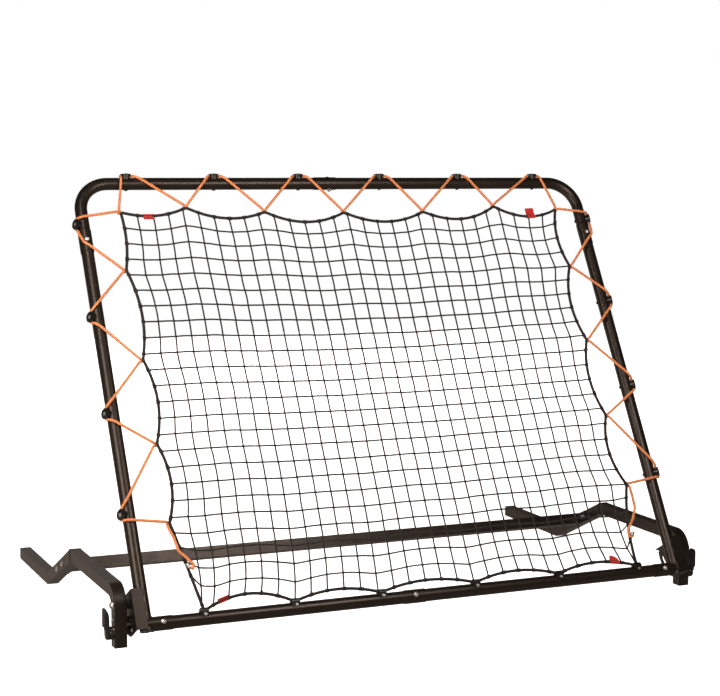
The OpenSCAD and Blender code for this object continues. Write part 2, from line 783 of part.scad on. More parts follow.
module side_tube() {
  color(coat) on_frame() difference() {
    union() {
      difference() {
        along_x(stub_mouth_x) cylinder(r = socket_r, h = side_x - stub_mouth_x);
        along_x(stub_mouth_x - cut) cylinder(r = socket_bore_r, h = side_x - stub_mouth_x + 2 * cut);
      }
      translate([side_x, 0, -tube_r]) cylinder(r = tube_r, h = side_top_z + tube_r);
    }
    translate([side_x, 0, -tube_r + floor_t]) cylinder(r = bore_r, h = side_top_z + tube_r);
    translate([side_x, 0, upper_joint_z + upper_bolt_in]) cross_hole(joint_bolt_d, [90, 0, 0]);
    translate([stub_mouth_x + stub_bolt_in, 0, 0]) cross_hole(joint_bolt_d, [90, 0, 0]);
    for (i = [1:3]) translate([side_x, 0, side_button_zs[i]]) cross_hole(screw_d, [0, 90, -button_turn]);
  }
}

module left_side_tube() {
  left() side_tube();
}

module right_side_tube() {
  side_tube();
}

// Half of the bottom rail, from start to the side tube, with the joint's bolt at bolt_x
module bottom_tube(start, bolt_x, socketed, screw_xs) {
  color(coat) on_frame() difference() {
    along_x(start) {
      if (socketed) socketed_tube(rail_end_x - start, bottom_socket_l);
      else ring(tube_r, bore_r, rail_end_x - start);
    }
    translate([bolt_x, 0, 0]) cross_hole(joint_bolt_d, [90, 0, 0]);
    translate([stub_mouth_x + stub_bolt_in, 0, 0]) cross_hole(joint_bolt_d, [90, 0, 0]);
    for (x = screw_xs) translate([x, 0, 0]) rotate([90 - clip_screw_a, 0, 0])
      cylinder(d = clip_screw_d + 2 * thread_room, h = tube_r + cut);
  }
}

module left_bottom_tube() {
  left() bottom_tube(bottom_joint_x, bottom_bolt_x, true, [for (i = [0:2]) -tie_xs[i]]);
}

module right_bottom_tube() {
  bottom_tube(-bottom_joint_x - bottom_socket_l + seat_gap, -bottom_bolt_x, false, [for (i = [3:5]) tie_xs[i]]);
}

// Arc slot about the pivot, with its round ends where the bolt stops
slot_steps = 20;
end_steps = 8;
function down(a) = [sin(a), -cos(a)];
function ahead(a) = [cos(a), sin(a)];
function slot_end(r, half, a, way) = [for (i = [1:end_steps - 1]) let (b = 180 * i / end_steps)
  r * down(a) + way * half * (cos(b) * down(a) + sin(b) * ahead(a))];

module arc_slot(r, d) {
  half = d / 2 + slot_room;
  leans = [for (i = [0:slot_steps]) lerp(lean_min, lean_max, i / slot_steps)];
  polygon(concat(
    [for (a = leans) (r + half) * down(a)], slot_end(r, half, lean_max, 1),
    [for (i = [slot_steps:-1:0]) (r - half) * down(leans[i])], slot_end(r, half, lean_min, -1)));
}

// Side view of the bracket's flange: a quadrant about the pivot, with a tooth at its top
notch_drop = 13;
edge_steps = 24;

module flange_shape() {
  front = -tube_r - bracket_t;
  edge_y = pivot_back + quadrant_r;
  from = asin(-(pivot_up + bracket_low) / quadrant_r);
  to = asin((bracket_top - notch_drop - pivot_up) / quadrant_r);
  difference() {
    polygon(concat(
      [[front, -bracket_low]],
      [for (i = [0:edge_steps]) let (a = lerp(from, to, i / edge_steps))
        [pivot_back + quadrant_r * cos(a), pivot_up + quadrant_r * sin(a)]],
      [[edge_y - 7, bracket_top - 9], [edge_y + 6.6, bracket_top - 3], [edge_y + 11, bracket_top],
      [front, bracket_top]]));
    translate([pivot_back, pivot_up]) {
      circle(r = pivot_bolt_d / 2 + pivot_fit);
      arc_slot(guide_r, guide_bolt_d);
      arc_slot(clamp_r, clamp_bolt_d);
    }
  }
}

module tilt_bracket() {
  color(coat) on_frame() {
    translate([side_x, -tube_r - bracket_t, -bracket_low])
      cube([flange_x + bracket_t - side_x, bracket_t, bracket_low + bracket_top]);
    side_plate(flange_x, bracket_t) flange_shape();
  }
}

module left_tilt_bracket() {
  left() tilt_bracket();
}

module right_tilt_bracket() {
  tilt_bracket();
}

// Places one child at each joint bolt: z along the bolt, from its head's seat
module at_frame_bolts() {
  on_frame() {
    both() {
      translate([side_x, -socket_r, upper_joint_z + upper_bolt_in]) rotate([-90, 0, 0]) children();
      translate([stub_mouth_x + stub_bolt_in, -socket_r, 0]) rotate([-90, 0, 0]) children();
    }
    translate([-bottom_bolt_x, -socket_r, 0]) rotate([-90, 0, 0]) children();
    translate([-top_bolt_x, 0, frame_h + socket_r]) rotate([180, 0, 0]) children();
  }
}

frame_nut_h = 5;

module frame_bolts() {
  color(steel) at_frame_bolts()
    dome_bolt(joint_bolt_d, 2 * socket_r + frame_nut_h + thread_past_nut, joint_bolt_d * 2.1, 3.5);
}

module frame_nuts() {
  color(steel) at_frame_bolts() translate([0, 0, 2 * socket_r]) nut(joint_bolt_d, 10, frame_nut_h);
}

// ---- Cord buttons -------------------------------------------------------------

module at_top_buttons() {
  on_frame() both() for (x = top_button_xs) translate([x, 0, frame_h])
    rotate([button_turn, 0, 0]) translate([0, 0, tube_r]) children();
}

module at_side_buttons() {
  on_frame() for (z = side_button_zs) translate([side_x, 0, z])
    rotate([0, 0, -button_turn]) along_x(tube_r) children();
}

// Button with its skirt at the front, its domed head, and a saddle for the tube below
module cord_button() {
  ball_r = (pow(head_r, 2) + pow(dome_h, 2)) / (2 * dome_h);
  low = tube_r / 3;
  color(plastic) difference() {
    union() {
      translate([0, 0, -low]) {
        cylinder(r = neck_r, h = low + neck_h + cut);
        intersection() {
          cylinder(r = skirt_r, h = low + neck_h + cut);
          translate([-skirt_r, -skirt_r, 0]) cube([2 * skirt_r, skirt_r - skirt_back, low + neck_h + cut]);
        }
      }
      intersection() {
        translate([0, 0, neck_h]) cylinder(r = head_r, h = head_t);
        translate([0, 0, neck_h + head_t - ball_r]) sphere(r = ball_r);
      }
    }
    translate([-head_r, 0, -tube_r]) rotate([0, 90, 0]) cylinder(r = tube_r + saddle_gap, h = 2 * head_r);
    translate([0, 0, -low - cut]) cylinder(d = screw_d + hole_room, h = low + neck_h + head_t + 2 * cut);
    translate([0, 0, neck_h + head_t - screw_head_h]) cylinder(r = screw_head_r + hole_room, h = screw_head_h + cut);
  }
}

module top_cord_buttons() {
  at_top_buttons() cord_button();
}

module left_cord_buttons() {
  left() at_side_buttons() cord_button();
}

module right_cord_buttons() {
  at_side_buttons() cord_button();
}

// Screw through a button and its tube, with a cross recess
recess_w = 1.2;
recess_l = 5;

module button_screw() {
  head_z = neck_h + head_t - screw_head_h;
  below = tube_d + button_nut_h + button_thread_past;
  color(steel) difference() {
    union() {
      translate([0, 0, -below]) cylinder(d = screw_d, h = below + head_z + cut);
      translate([0, 0, head_z]) cylinder(r = screw_head_r, h = screw_head_h - hole_room);
    }
    for (turn = [0, 90]) rotate([0, 0, turn]) translate([-recess_l / 2, -recess_w / 2, head_z + 0.8])
      cube([recess_l, recess_w, screw_head_h]);
  }
}

module button_nut() {
  color(coat) translate([0, 0, -tube_d - button_nut_h]) nut(screw_d, 8, button_nut_h);
}

module button_screws() {
  at_top_buttons() button_screw();
  both() at_side_buttons() button_screw();
}

module button_nuts() {
  at_top_buttons() button_nut();
  both() at_side_buttons() button_nut();
}

// ---- Net and cords ------------------------------------------------------------

// The net as one plate with a hole in each cell. Every crossing has four corners,
// counted from the lower left against the clock, on a front and a back layer.
corner_signs = [[-1, -1], [1, -1], [1, 1], [-1, 1]];
function corner(i, j, q) = ((i * (rows + 1) + j) * 4 + q) * 2;
function quad(a, b, c, d) = [[a, b, c], [a, c, d]];
function both_layers(a, b, c, d) = concat(quad(a, b, c, d), quad(d + 1, c + 1, b + 1, a + 1));
function wall(a, b) = quad(a, a + 1, b + 1, b);

module net() {
  points = [for (i = [0:cols]) for (j = [0:rows]) for (s = corner_signs) for (side = [-1, 1])
    [net_grid[i][j].x + s.x * strand_half, -net_front + side * strand_half, net_grid[i][j].y + s.y * strand_half]];
  crossings = [for (i = [0:cols]) for (j = [0:rows])
    each both_layers(corner(i, j, 0), corner(i, j, 3), corner(i, j, 2), corner(i, j, 1))];
  across = [for (i = [0:cols - 1]) for (j = [0:rows])
    each both_layers(corner(i, j, 1), corner(i, j, 2), corner(i + 1, j, 3), corner(i + 1, j, 0))];
  upright = [for (i = [0:cols]) for (j = [0:rows - 1])
    each both_layers(corner(i, j, 3), corner(i, j + 1, 0), corner(i, j + 1, 1), corner(i, j, 2))];
  holes = [for (i = [0:cols - 1]) for (j = [0:rows - 1])
    let (a = corner(i, j, 2), b = corner(i + 1, j, 3), c = corner(i + 1, j + 1, 0), d = corner(i, j + 1, 1))
    each concat(wall(a, b), wall(b, c), wall(c, d), wall(d, a))];
  rim = concat(
    [for (i = [cols:-1:0]) each [corner(i, 0, 1), corner(i, 0, 0)]],
    [for (j = [0:rows]) each j == 0 ? [corner(0, j, 3)] : [corner(0, j, 0), corner(0, j, 3)]],
    [for (i = [0:cols]) each i == 0 ? [corner(i, rows, 2)] : [corner(i, rows, 3), corner(i, rows, 2)]],
    [for (j = [rows:-1:1]) each j == rows ? [corner(cols, j, 1)] : [corner(cols, j, 2), corner(cols, j, 1)]],
    [corner(cols, 0, 2)]);
  rim_walls = [for (k = [0:len(rim) - 1]) each wall(rim[k], rim[(k + 1) % len(rim)])];
  color(plastic) on_frame() polyhedron(points, concat(crossings, across, upright, holes, rim_walls));
}

module border_rope() {
  color(plastic) on_frame() sweep_ring(net_border, -net_front, rope_d / 2);
}

// Clips that hold the rope on the bottom tube
clip_w = 20;
clip_pad = 3.5;
clip_bulge = 8;
clip_low = 8;
clip_high = 92;
clip_steps = 28;
rope_a = atan2(tie_z, net_front);
rope_out = norm([net_front, tie_z]);
clip_screw_a = 18;
clip_screw_d = 4;

// Distance of the clip's outside from the tube's axis, at angle a up from the front
function clip_out(a) = let (side = rope_out * sin(a - rope_a), deep = clip_bulge * clip_bulge - side * side)
  max(tube_r + clip_pad, deep > 0 ? rope_out * cos(a - rope_a) + sqrt(deep) : 0);
function from_front(a, r) = [-r * cos(a), r * sin(a)];

module clip_shape() {
  angles = [for (i = [0:clip_steps]) lerp(clip_low, clip_high, i / clip_steps)];
  difference() {
    polygon(concat(
      [for (a = angles) from_front(a, clip_out(a))],
      [for (i = [clip_steps:-1:0]) from_front(angles[i], tube_r + 0.1)]));
    translate([-net_front, tie_z]) circle(r = rope_d / 2 + 0.6, $fn = 24);
  }
}

module at_clip_screws() {
  for (p = bottom_ties) translate([p.x, 0, 0]) rotate([90 - clip_screw_a, 0, 0]) children();
}

module net_clips() {
  color(plastic) on_frame() difference() {
    for (p = bottom_ties) side_plate(p.x - clip_w / 2, clip_w) clip_shape();
    at_clip_screws() cylinder(d = clip_screw_d + hole_room, h = tube_r + 2 * clip_pad);
  }
}

// Screws that hold the clips, with their tips in the tube
module clip_screws() {
  color(steel) on_frame() at_clip_screws() {
    translate([0, 0, bore_r - 3]) cylinder(d = clip_screw_d, h = tube_wall + 3 + clip_pad + 0.2);
    translate([0, 0, tube_r + clip_pad + 0.1]) cylinder(d = 2 * clip_screw_d, h = 1.8);
  }
}

module bungee_cord() {
  color(orange) on_frame() sweep(cord_route, bungee_d / 2);
}

// Crimped ring round an end of the cord, between its last two points
module cord_clip(end, before) {
  middle = lerp(end, before, 0.5);
  turn = atan2(end.x - before.x, end.z - before.z);
  translate(middle) rotate([0, turn, 0]) translate([0, 0, -clip_l / 2])
    ring(bungee_d / 2 + 0.2 + clip_wall, bungee_d / 2 + 0.2, clip_l);
}

module bungee_clips() {
  color(steel) on_frame() {
    cord_clip(left_tail[0], left_tail[1]);
    cord_clip(right_tail[6], right_tail[5]);
  }
}

tag_w = 27;
tag_h = 30;
tag_t = 1.5;
tag_places = [[from_left(178), from_top(97)], [from_right(161), from_top(96)], [from_left(190), 40], [from_right(184), 38]];

module corner_tags() {
  color(red) on_frame() for (p = tag_places)
    translate([p.x - tag_w / 2, -net_front - rope_d / 2 - 0.1 - tag_t, p.y - tag_h / 2]) cube([tag_w, tag_t, tag_h]);
}

// ---- Drawing ------------------------------------------------------------------

left_leg();
right_leg();
rear_crossbar();
crossbar_bolts();
crossbar_nuts();
left_foot_cap();
right_foot_cap();
left_rear_cap();
right_rear_cap();
left_pivot_bolt();
right_pivot_bolt();
pivot_washers();
pivot_nuts();
pivot_spacers();
guide_bolts();
guide_washers();
guide_nuts();
guide_spacers();
left_clamp_bolt();
right_clamp_bolt();
clamp_washers();
clamp_spacers();
thrust_washers();
post_sleeves();
left_clamp_lever();
right_clamp_lever();
left_lever_insert();
right_lever_insert();
left_lever_screw();
right_lever_screw();
left_top_corner();
right_top_corner();
left_side_tube();
right_side_tube();
left_bottom_tube();
right_bottom_tube();
left_tilt_bracket();
right_tilt_bracket();
frame_bolts();
frame_nuts();
top_cord_buttons();
left_cord_buttons();
right_cord_buttons();
button_screws();
button_nuts();
net();
border_rope();
net_clips();
clip_screws();
bungee_cord();
bungee_clips();
corner_tags();
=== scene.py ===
"""Pitch back rebounder: a net laced with bungee cord in a tube frame that tilts on a low base.

Sizes are in millimetres, and the meshes are turned into metres where they are made.
"""

import json
from math import atan2, cos, pi, radians, sin, tan

import bpy
import numpy as np
from mathutils import Matrix, Vector


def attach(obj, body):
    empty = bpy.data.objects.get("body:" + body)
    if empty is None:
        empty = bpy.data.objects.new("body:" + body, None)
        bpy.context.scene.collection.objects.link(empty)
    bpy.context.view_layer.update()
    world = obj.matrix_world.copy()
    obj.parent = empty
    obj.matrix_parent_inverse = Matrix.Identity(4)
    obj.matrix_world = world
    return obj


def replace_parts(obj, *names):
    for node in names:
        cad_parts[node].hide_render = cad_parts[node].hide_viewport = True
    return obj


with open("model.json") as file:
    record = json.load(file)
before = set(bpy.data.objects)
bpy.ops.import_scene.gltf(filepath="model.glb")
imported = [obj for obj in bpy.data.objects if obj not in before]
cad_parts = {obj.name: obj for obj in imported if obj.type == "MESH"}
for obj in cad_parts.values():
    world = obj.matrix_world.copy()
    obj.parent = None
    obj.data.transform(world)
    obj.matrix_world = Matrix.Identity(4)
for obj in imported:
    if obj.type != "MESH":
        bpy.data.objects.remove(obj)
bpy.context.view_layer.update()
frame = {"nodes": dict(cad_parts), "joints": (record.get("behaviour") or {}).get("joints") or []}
parts = frame["nodes"]
mm = 0.001

# ---- View ----------------------------------------------------------------------
# A camera at chest height, to the left of the rebounder's middle and about four
# metres in front of it, with a lens of short telephoto length.

camera_place = (-1881.2, -4331.6, 1166.1)
camera_turn = radians(23.779)
camera_dip = radians(6.519)
camera_roll = radians(0.3926)
lens_mm = 87.35
sensor_mm = 36

eye = bpy.data.objects.new("eye", bpy.data.cameras.new("eye"))
eye.data.lens = lens_mm
eye.data.sensor_width = sensor_mm
eye.data.sensor_fit = "HORIZONTAL"
eye.matrix_world = (
    Matrix.Translation(Vector(camera_place) * mm)
    @ Matrix.Rotation(-camera_turn, 4, "Z")
    @ Matrix.Rotation(pi / 2 - camera_dip, 4, "X")
    @ Matrix.Rotation(camera_roll, 4, "Z")
)
bpy.context.scene.collection.objects.link(eye)
bpy.context.scene.camera = eye
bpy.context.scene.view_settings.view_transform = "Standard"

# ---- Studio --------------------------------------------------------------------
# A white sweep of paper in a dark room. One soft box hangs close in front and a tall one
# stands on the left. The sweep glows behind, and two broad lamps fill the shadows.


class Wire:
    """One output of a node. Python arithmetic on it adds Math nodes."""

    def __init__(self, finish, socket):
        self.finish, self.socket = finish, socket

    def maths(self, operation, a, b):
        return self.finish.node("Math", {"operation": operation}, {0: a, 1: b})

    def __add__(self, other):
        return self.maths("ADD", self, other)

    def __sub__(self, other):
        return self.maths("SUBTRACT", self, other)

    def __rsub__(self, other):
        return self.maths("SUBTRACT", other, self)

    def __mul__(self, other):
        return self.maths("MULTIPLY", self, other)

    __radd__ = __add__
    __rmul__ = __mul__


class Finish:
    """The nodes of a material or of the world's air."""

    def __init__(self, owner):
        owner.use_nodes = True
        self.owner, self.tree = owner, owner.node_tree
        self.tree.nodes.clear()

    def node(self, kind, settings=(), inputs=(), out=0):
        """Adds a node: its settings first, then the value or the wire of each input."""
        made = self.tree.nodes.new("ShaderNode" + kind)
        for name, value in dict(settings).items():
            setattr(made, name, value)
        for name, value in dict(inputs).items():
            if isinstance(value, Wire):
                self.tree.links.new(value.socket, made.inputs[name])
            else:
                made.inputs[name].default_value = value
        return Wire(self, made.outputs[out])

    def axis(self, vector, number):
        """One of a vector's three numbers."""
        return self.node("SeparateXYZ", {}, {0: vector}, number)

    def wrapped(self):
        """Where a point lies across or round a strip or cord, and along it."""
        place = self.node("TexCoord", out="UV")
        return self.axis(place, 0), self.axis(place, 1)

    def sine(self, angle):
        return self.node("Math", {"operation": "SINE"}, {0: angle})

    def noise(self, scale, detail=4.0, rough=0.6):
        inputs = {"Vector": self.node("TexCoord", out="Object"),
                  "Scale": scale, "Detail": detail, "Roughness": rough}
        return self.node("TexNoise", {}, inputs)

    def spread(self, value, low, high, to_low=0.0, to_high=1.0):
        """Maps low..high of a wire to to_low..to_high, and holds it there."""
        inputs = {"Value": value, "From Min": low, "From Max": high,
                  "To Min": to_low, "To Max": to_high}
        return self.node("MapRange", {}, inputs)

    def mix(self, share, a, b):
        """The colour a where share is 0, and b where it is 1."""
        return self.node("Mix", {"data_type": "RGBA"}, {"Factor": share, 6: a, 7: b}, 2)

    def bump(self, height, depth):
        """Normal of a surface that height raises by depth metres."""
        return self.node("Bump", {}, {"Height": height, "Distance": depth, "Strength": 1.0})

    def surface(self, **inputs):
        """Ends the tree in a Principled shader. An input's words are joined by low lines."""
        named = {name.replace("_", " ").title().replace("Ior", "IOR"): value
                 for name, value in inputs.items()}
        self.end(self.node("BsdfPrincipled", {}, named), "Material")
        return self.owner

    def end(self, shader, kind):
        made = self.tree.nodes.new("ShaderNodeOutput" + kind)
        self.tree.links.new(shader.socket, made.inputs["Surface"])


def new_finish(name):
    return Finish(bpy.data.materials.new(name))


def rgb(red, green, blue):
    return (red, green, blue, 1.0)


paper_white = rgb(1.0, 1.0, 1.0)
paper_thin = rgb(0.90, 0.90, 0.895)
paper_thick = rgb(0.93, 0.93, 0.925)
paper_glow = 1.0
floor_left = rgb(0.52, 0.43, 0.36)
floor_right = rgb(0.25, 0.21, 0.18)
room_low = rgb(0.050, 0.042, 0.036)
room_high = rgb(0.035, 0.030, 0.026)
# where the room's colours change, as shares of a full look across or up
floor_fade = (-0.4, 0.3)
wall_fade = (0.1, 0.9)
horizon = (-0.12, 0.02)

air = Finish(bpy.data.worlds.new("studio_air"))
look = air.node("TexCoord", out="Generated")
look_across, look_up = air.axis(look, 0), air.axis(look, 2)
ground = air.mix(air.spread(look_across, *floor_fade), floor_left, floor_right)
walls = air.mix(air.spread(look_up, *wall_fade), room_low, room_high)
room = air.node("Background", {}, {"Color": air.mix(air.spread(look_up, *horizon), ground, walls)})
sheet = air.node("Background", {}, {"Color": paper_white, "Strength": paper_glow})
seen = air.node("LightPath", out="Is Camera Ray")
air.end(air.node("MixShader", {}, {0: seen, 1: room, 2: sheet}), "World")
bpy.context.scene.world = air.owner

floor_half = 6000
floor_corners = [(-1, -1), (1, -1), (1, 1), (-1, 1)]
floor_mesh = bpy.data.meshes.new("paper_floor")
floor_mesh.from_pydata(
    [(x * floor_half * mm, y * floor_half * mm, 0) for x, y in floor_corners], [], [(0, 1, 2, 3)])
floor = bpy.data.objects.new("paper_floor", floor_mesh)
bpy.context.scene.collection.objects.link(floor)
paper = new_finish("paper")
fibre = paper.noise(scale=600, detail=3)
floor_mesh.materials.append(paper.surface(
    base_color=paper.mix(fibre, paper_thin, paper_thick), roughness=0.9,
    normal=paper.bump(fibre, depth=0.1 * mm),
    emission_color=paper_white, emission_strength=paper_glow))
floor.visible_glossy = False
floor.visible_diffuse = False

lamp_tint = (1.0, 0.88, 0.80)


def soft_light(name, place, aim, width, height, watts, shine=True):
    """A soft box that looks at aim. Without shine it makes no highlights."""
    lamp = bpy.data.lights.new(name, "AREA")
    lamp.shape, lamp.size, lamp.size_y = "RECTANGLE", width * mm, height * mm
    lamp.energy, lamp.color = watts, lamp_tint
    box = bpy.data.objects.new(name, lamp)
    box.visible_camera = False
    box.visible_glossy = shine
    box.location = Vector(place) * mm
    direction = Vector(aim) * mm - box.location
    box.rotation_euler = direction.to_track_quat("-Z", "Y").to_euler()
    bpy.context.scene.collection.objects.link(box)


soft_light("front_box", (340, -1700, 1560), aim=(0, -100, 700), width=620, height=520, watts=17)
soft_light("left_box", (-1340, -830, 1250), aim=(0, -350, 700), width=300, height=2100, watts=21)
soft_light("glowing_sweep", (-200, 4500, 1400), aim=(0, 0, 500),
           width=6300, height=2700, watts=17.5)
soft_light("fill_lamp", (-1200, -5200, 3200), aim=(0, 0, 500),
           width=3000, height=2000, watts=130, shine=False)
soft_light("back_lamp", (900, 5200, 3600), aim=(0, 0, 500),
           width=3000, height=2000, watts=300, shine=False)

# ---- Powder-coated steel -------------------------------------------------------
# Legs, crossbar, tubes and tilt brackets are mild steel, bent or welded and then coated
# with a dark brown-black powder that is baked on. It cures to a satin skin with a fine
# orange peel, a little paler where it is thick.

coat_deep = rgb(0.0068, 0.0049, 0.0038)
coat_pale = rgb(0.0108, 0.0080, 0.0063)
coat_dust = rgb(0.060, 0.052, 0.046)
coat_shine = rgb(1.0, 0.86, 0.77)
dust_share = 0.15


def powder_coat():
    coat = new_finish("powder_coat")
    tone = coat.spread(coat.noise(scale=9, detail=3), 0.35, 0.65)
    colour = coat.mix(tone, coat_deep, coat_pale)
    specks = coat.spread(coat.noise(scale=420, detail=3, rough=0.7), 0.66, 0.78)
    patches = coat.spread(coat.noise(scale=16, detail=2), 0.45, 0.70)
    colour = coat.mix(specks * patches * dust_share, colour, coat_dust)
    peel = coat.noise(scale=900, detail=2, rough=0.5)
    gloss = coat.spread(coat.noise(scale=30, detail=3), 0.3, 0.7, to_low=0.36, to_high=0.41)
    return coat.surface(
        base_color=colour, roughness=gloss, normal=coat.bump(peel, depth=0.006 * mm),
        specular_tint=coat_shine, coat_weight=0.08, coat_roughness=0.25, ior=1.5)


def dress(names, finish):
    """Gives CAD parts a finish."""
    for name in names:
        data = parts[name].data
        data.materials.clear()
        data.materials.append(finish)


steel_coat = powder_coat()
dress([
    "left_leg", "right_leg", "rear_crossbar", "left_top_corner", "right_top_corner",
    "left_side_tube", "right_side_tube", "left_bottom_tube", "right_bottom_tube",
    "left_tilt_bracket", "right_tilt_bracket", "button_nuts"], steel_coat)

# ---- Weld beads ----------------------------------------------------------------
# The mitres of the legs, the plates of the crossbar, the tilt brackets and the stubs on
# the side tubes are welded, and the beads are coated over with the rest.

lean = radians(30)
pivot_back, pivot_up = 19, 59
tilt = next(joint for joint in frame["joints"] if joint["name"] == "frame_tilt")
frame_axes = np.array(
    Matrix.Translation(Vector(tilt["pos_m"]))
    @ Matrix.Rotation(-lean, 4, "X")
    @ Matrix.Translation(Vector((0, -pivot_back, -pivot_up)) * mm)
    @ Matrix.Scale(mm, 4))


def on_frame(points):
    """Points on the tilted frame (x across, y back, z up from the bottom tube), in metres."""
    return np.asarray(points) @ frame_axes[:3, :3].T + frame_axes[:3, 3]


def on_ground(points):
    """Points of the base, from millimetres to metres."""
    return np.asarray(points) * mm


def unit(vectors):
    return vectors / np.linalg.norm(vectors, axis=-1, keepdims=True)


def lengths(path):
    """Distance of each point from the start, along the path."""
    steps = np.linalg.norm(np.diff(path, axis=0), axis=1)
    return np.concatenate([[0.0], np.cumsum(steps)])


def even(path, step):
    """The path again, with points a step apart."""
    run = lengths(path)
    marks = np.linspace(0, run[-1], max(2, round(run[-1] / step) + 1))
    return np.stack([np.interp(marks, run, path[:, axis]) for axis in range(3)], axis=1)


def eased(path, step, reach):
    """The path with points a step apart and its corners rounded over reach."""
    path = even(np.asarray(path, float), step)
    count = max(1, round(reach / step))
    ends = 2 * count
    weights = np.exp(-0.5 * (np.arange(-ends, ends + 1) / count) ** 2)
    weights /= weights.sum()
    before = 2 * path[0] - path[ends:0:-1]
    after = 2 * path[-1] - path[-2:-ends - 2:-1]
    longer = np.concatenate([before, path, after])
    return np.stack([np.convolve(longer[:, axis], weights, "valid") for axis in range(3)], axis=1)


class Skin:
    """A mesh that is put together from swept tubes and folded strips."""

    # a direction that no path starts along, from which the sides of a tube are turned
    first_side = (0.0, -1.0, 0.12)

    def __init__(self):
        self.points, self.faces, self.wraps, self.count = [], [], [], 0

    def add(self, points, faces, wraps):
        """wraps holds the texture place of each corner of each face."""
        self.points.append(points)
        self.faces.extend((np.asarray(faces) + self.count).tolist())
        self.wraps.append(np.asarray(wraps).reshape(-1, 2))
        self.count += len(points)

    def tube(self, path, radius, sides=8):
        """A closed tube along a path. radius is a number, or a function of length and angle."""
        path = np.asarray(path, float)
        headings = unit(np.gradient(path, axis=0))
        across = np.empty_like(path)
        last = np.array(self.first_side)
        for i, heading in enumerate(headings):
            last = unit(last - heading * (last @ heading))
            across[i] = last
        up = np.cross(headings, across)
        run = lengths(path)
        angles = 2 * pi * np.arange(sides) / sides
        size = radius(run[:, None], angles[None, :]) if callable(radius) else radius
        size = np.broadcast_to(size, (len(path), sides))[:, :, None]
        spokes = (np.cos(angles)[None, :, None] * across[:, None]
                  + np.sin(angles)[None, :, None] * up[:, None])
        rings = path[:, None] + size * spokes
        start = np.arange(len(path) - 1)[:, None] * sides
        here = np.arange(sides)[None, :]
        there = (here + 1) % sides
        faces = np.stack(
            [start + here, start + there, start + sides + there, start + sides + here], axis=-1)
        u, v = np.arange(sides + 1) / sides, run * mm
        corners = ((u[:-1], v[:-1]), (u[1:], v[:-1]), (u[1:], v[1:]), (u[:-1], v[1:]))
        wraps = np.stack([
            np.stack(np.broadcast_arrays(a[None, :], b[:, None]), -1) for a, b in corners], axis=2)
        self.add(rings.reshape(-1, 3), faces.reshape(-1, 4), wraps)
        first = self.count - len(path) * sides
        for end in (range(first, first + sides)[::-1], range(self.count - sides, self.count)):
            self.faces.append(list(end))
            self.wraps.append(np.zeros((sides, 2)))

    def piece(self, name, place, finish, body):
        """The skin as a piece: place turns its points into metres."""
        mesh = bpy.data.meshes.new(name)
        mesh.from_pydata(place(np.concatenate(self.points)).tolist(), [], self.faces)
        layer = mesh.uv_layers.new(name="wrap")
        layer.data.foreach_set("uv", np.concatenate(self.wraps).ravel())
        mesh.polygons.foreach_set("use_smooth", np.ones(len(mesh.polygons), bool))
        mesh.materials.append(finish)
        made = bpy.data.objects.new(name, mesh)
        bpy.context.scene.collection.objects.link(made)
        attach(made, body)
        return made


leg_x, leg_t = 767.5, 30
leg_out_x = leg_x + leg_t
pivot_y = tilt["pos_m"][1] / mm
arm_z, peak_y, rear_bend_y = 131.5, 400, 646
slope = atan2(arm_z - leg_t / 2, rear_bend_y - peak_y)
bead_r, bead_step, bead_round = 1.5, 0.8, 0.9
ripple_length, ripple_low, ripple_swell = 2.4, 0.9, 0.16


def bead(skin, corners, closed=True):
    """A weld bead, rippled where each drop of metal froze."""
    path = list(corners) + [corners[0]] * closed
    skin.tube(eased(path, bead_step, bead_round), lambda run, angle: bead_r * (
        ripple_low + ripple_swell * np.abs(np.sin(pi * run / ripple_length))))


base_welds = Skin()
half = leg_t / 2
mitre = half * tan(slope / 2)
for side in (-1, 1):
    for bend_y, bend_z in ((peak_y, arm_z), (rear_bend_y, half)):
        corners = [
            (side * leg_x, pivot_y + bend_y + mitre, bend_z + half),
            (side * leg_out_x, pivot_y + bend_y + mitre, bend_z + half),
            (side * leg_out_x, pivot_y + bend_y - mitre, bend_z - half),
            (side * leg_x, pivot_y + bend_y - mitre, bend_z - half),
        ]
        # the rear bend lies on the ground, so that its bead runs over the top only
        on_top_only = bend_z == half
        bead(base_welds, corners[:2] if on_top_only else corners, closed=not on_top_only)

# the crossbar's plates, this far down the slope from the peak
bar_down, plate_t = 122, 3
for side in (-1, 1):
    plate = []
    for back, up in ((-half, -half), (half, -half), (half, half), (-half, half)):
        down = bar_down + back
        plate.append((side * (leg_x - plate_t),
                      pivot_y + peak_y + down * cos(slope) + up * sin(slope),
                      arm_z - down * sin(slope) + up * cos(slope)))
    bead(base_welds, plate)
base_welds.piece("base_weld_beads", on_ground, steel_coat, "base")

side_x, tube_r, stub_r = 732, 16, 17.35
bracket_low, bracket_top = -14, 85
seam_end, seam_in, seam_front = 4, 1.2, 0.6
stub_sunk = 0.4
frame_welds = Skin()
for side in (-1, 1):
    for low, high in ((bracket_low + seam_end, 18), (30, 52), (64, bracket_top - seam_end)):
        seam = [(side * (side_x - seam_in), -tube_r - seam_front, z)
                for z in np.linspace(low, high, 9)]
        bead(frame_welds, seam, closed=False)
    ring = []
    for a in np.linspace(0, 2 * pi, 41):
        back, up = stub_r * cos(a), stub_r * sin(a)
        out = np.sqrt(max(tube_r ** 2 - back ** 2, 0))
        ring.append((side * (side_x - stub_sunk - out), back, up))
    bead(frame_welds, ring, closed=False)
frame_welds.piece("frame_weld_beads", on_frame, steel_coat, "frame")

# ---- Bolts, nuts, washers and spacers ------------------------------------------
# Turned and cold-headed steel, plated with bright zinc. The plating is cool and slightly
# streaky, and duller on the faces that were tightened.

zinc_bright = rgb(0.86, 0.87, 0.88)
zinc_dull = rgb(0.64, 0.64, 0.65)


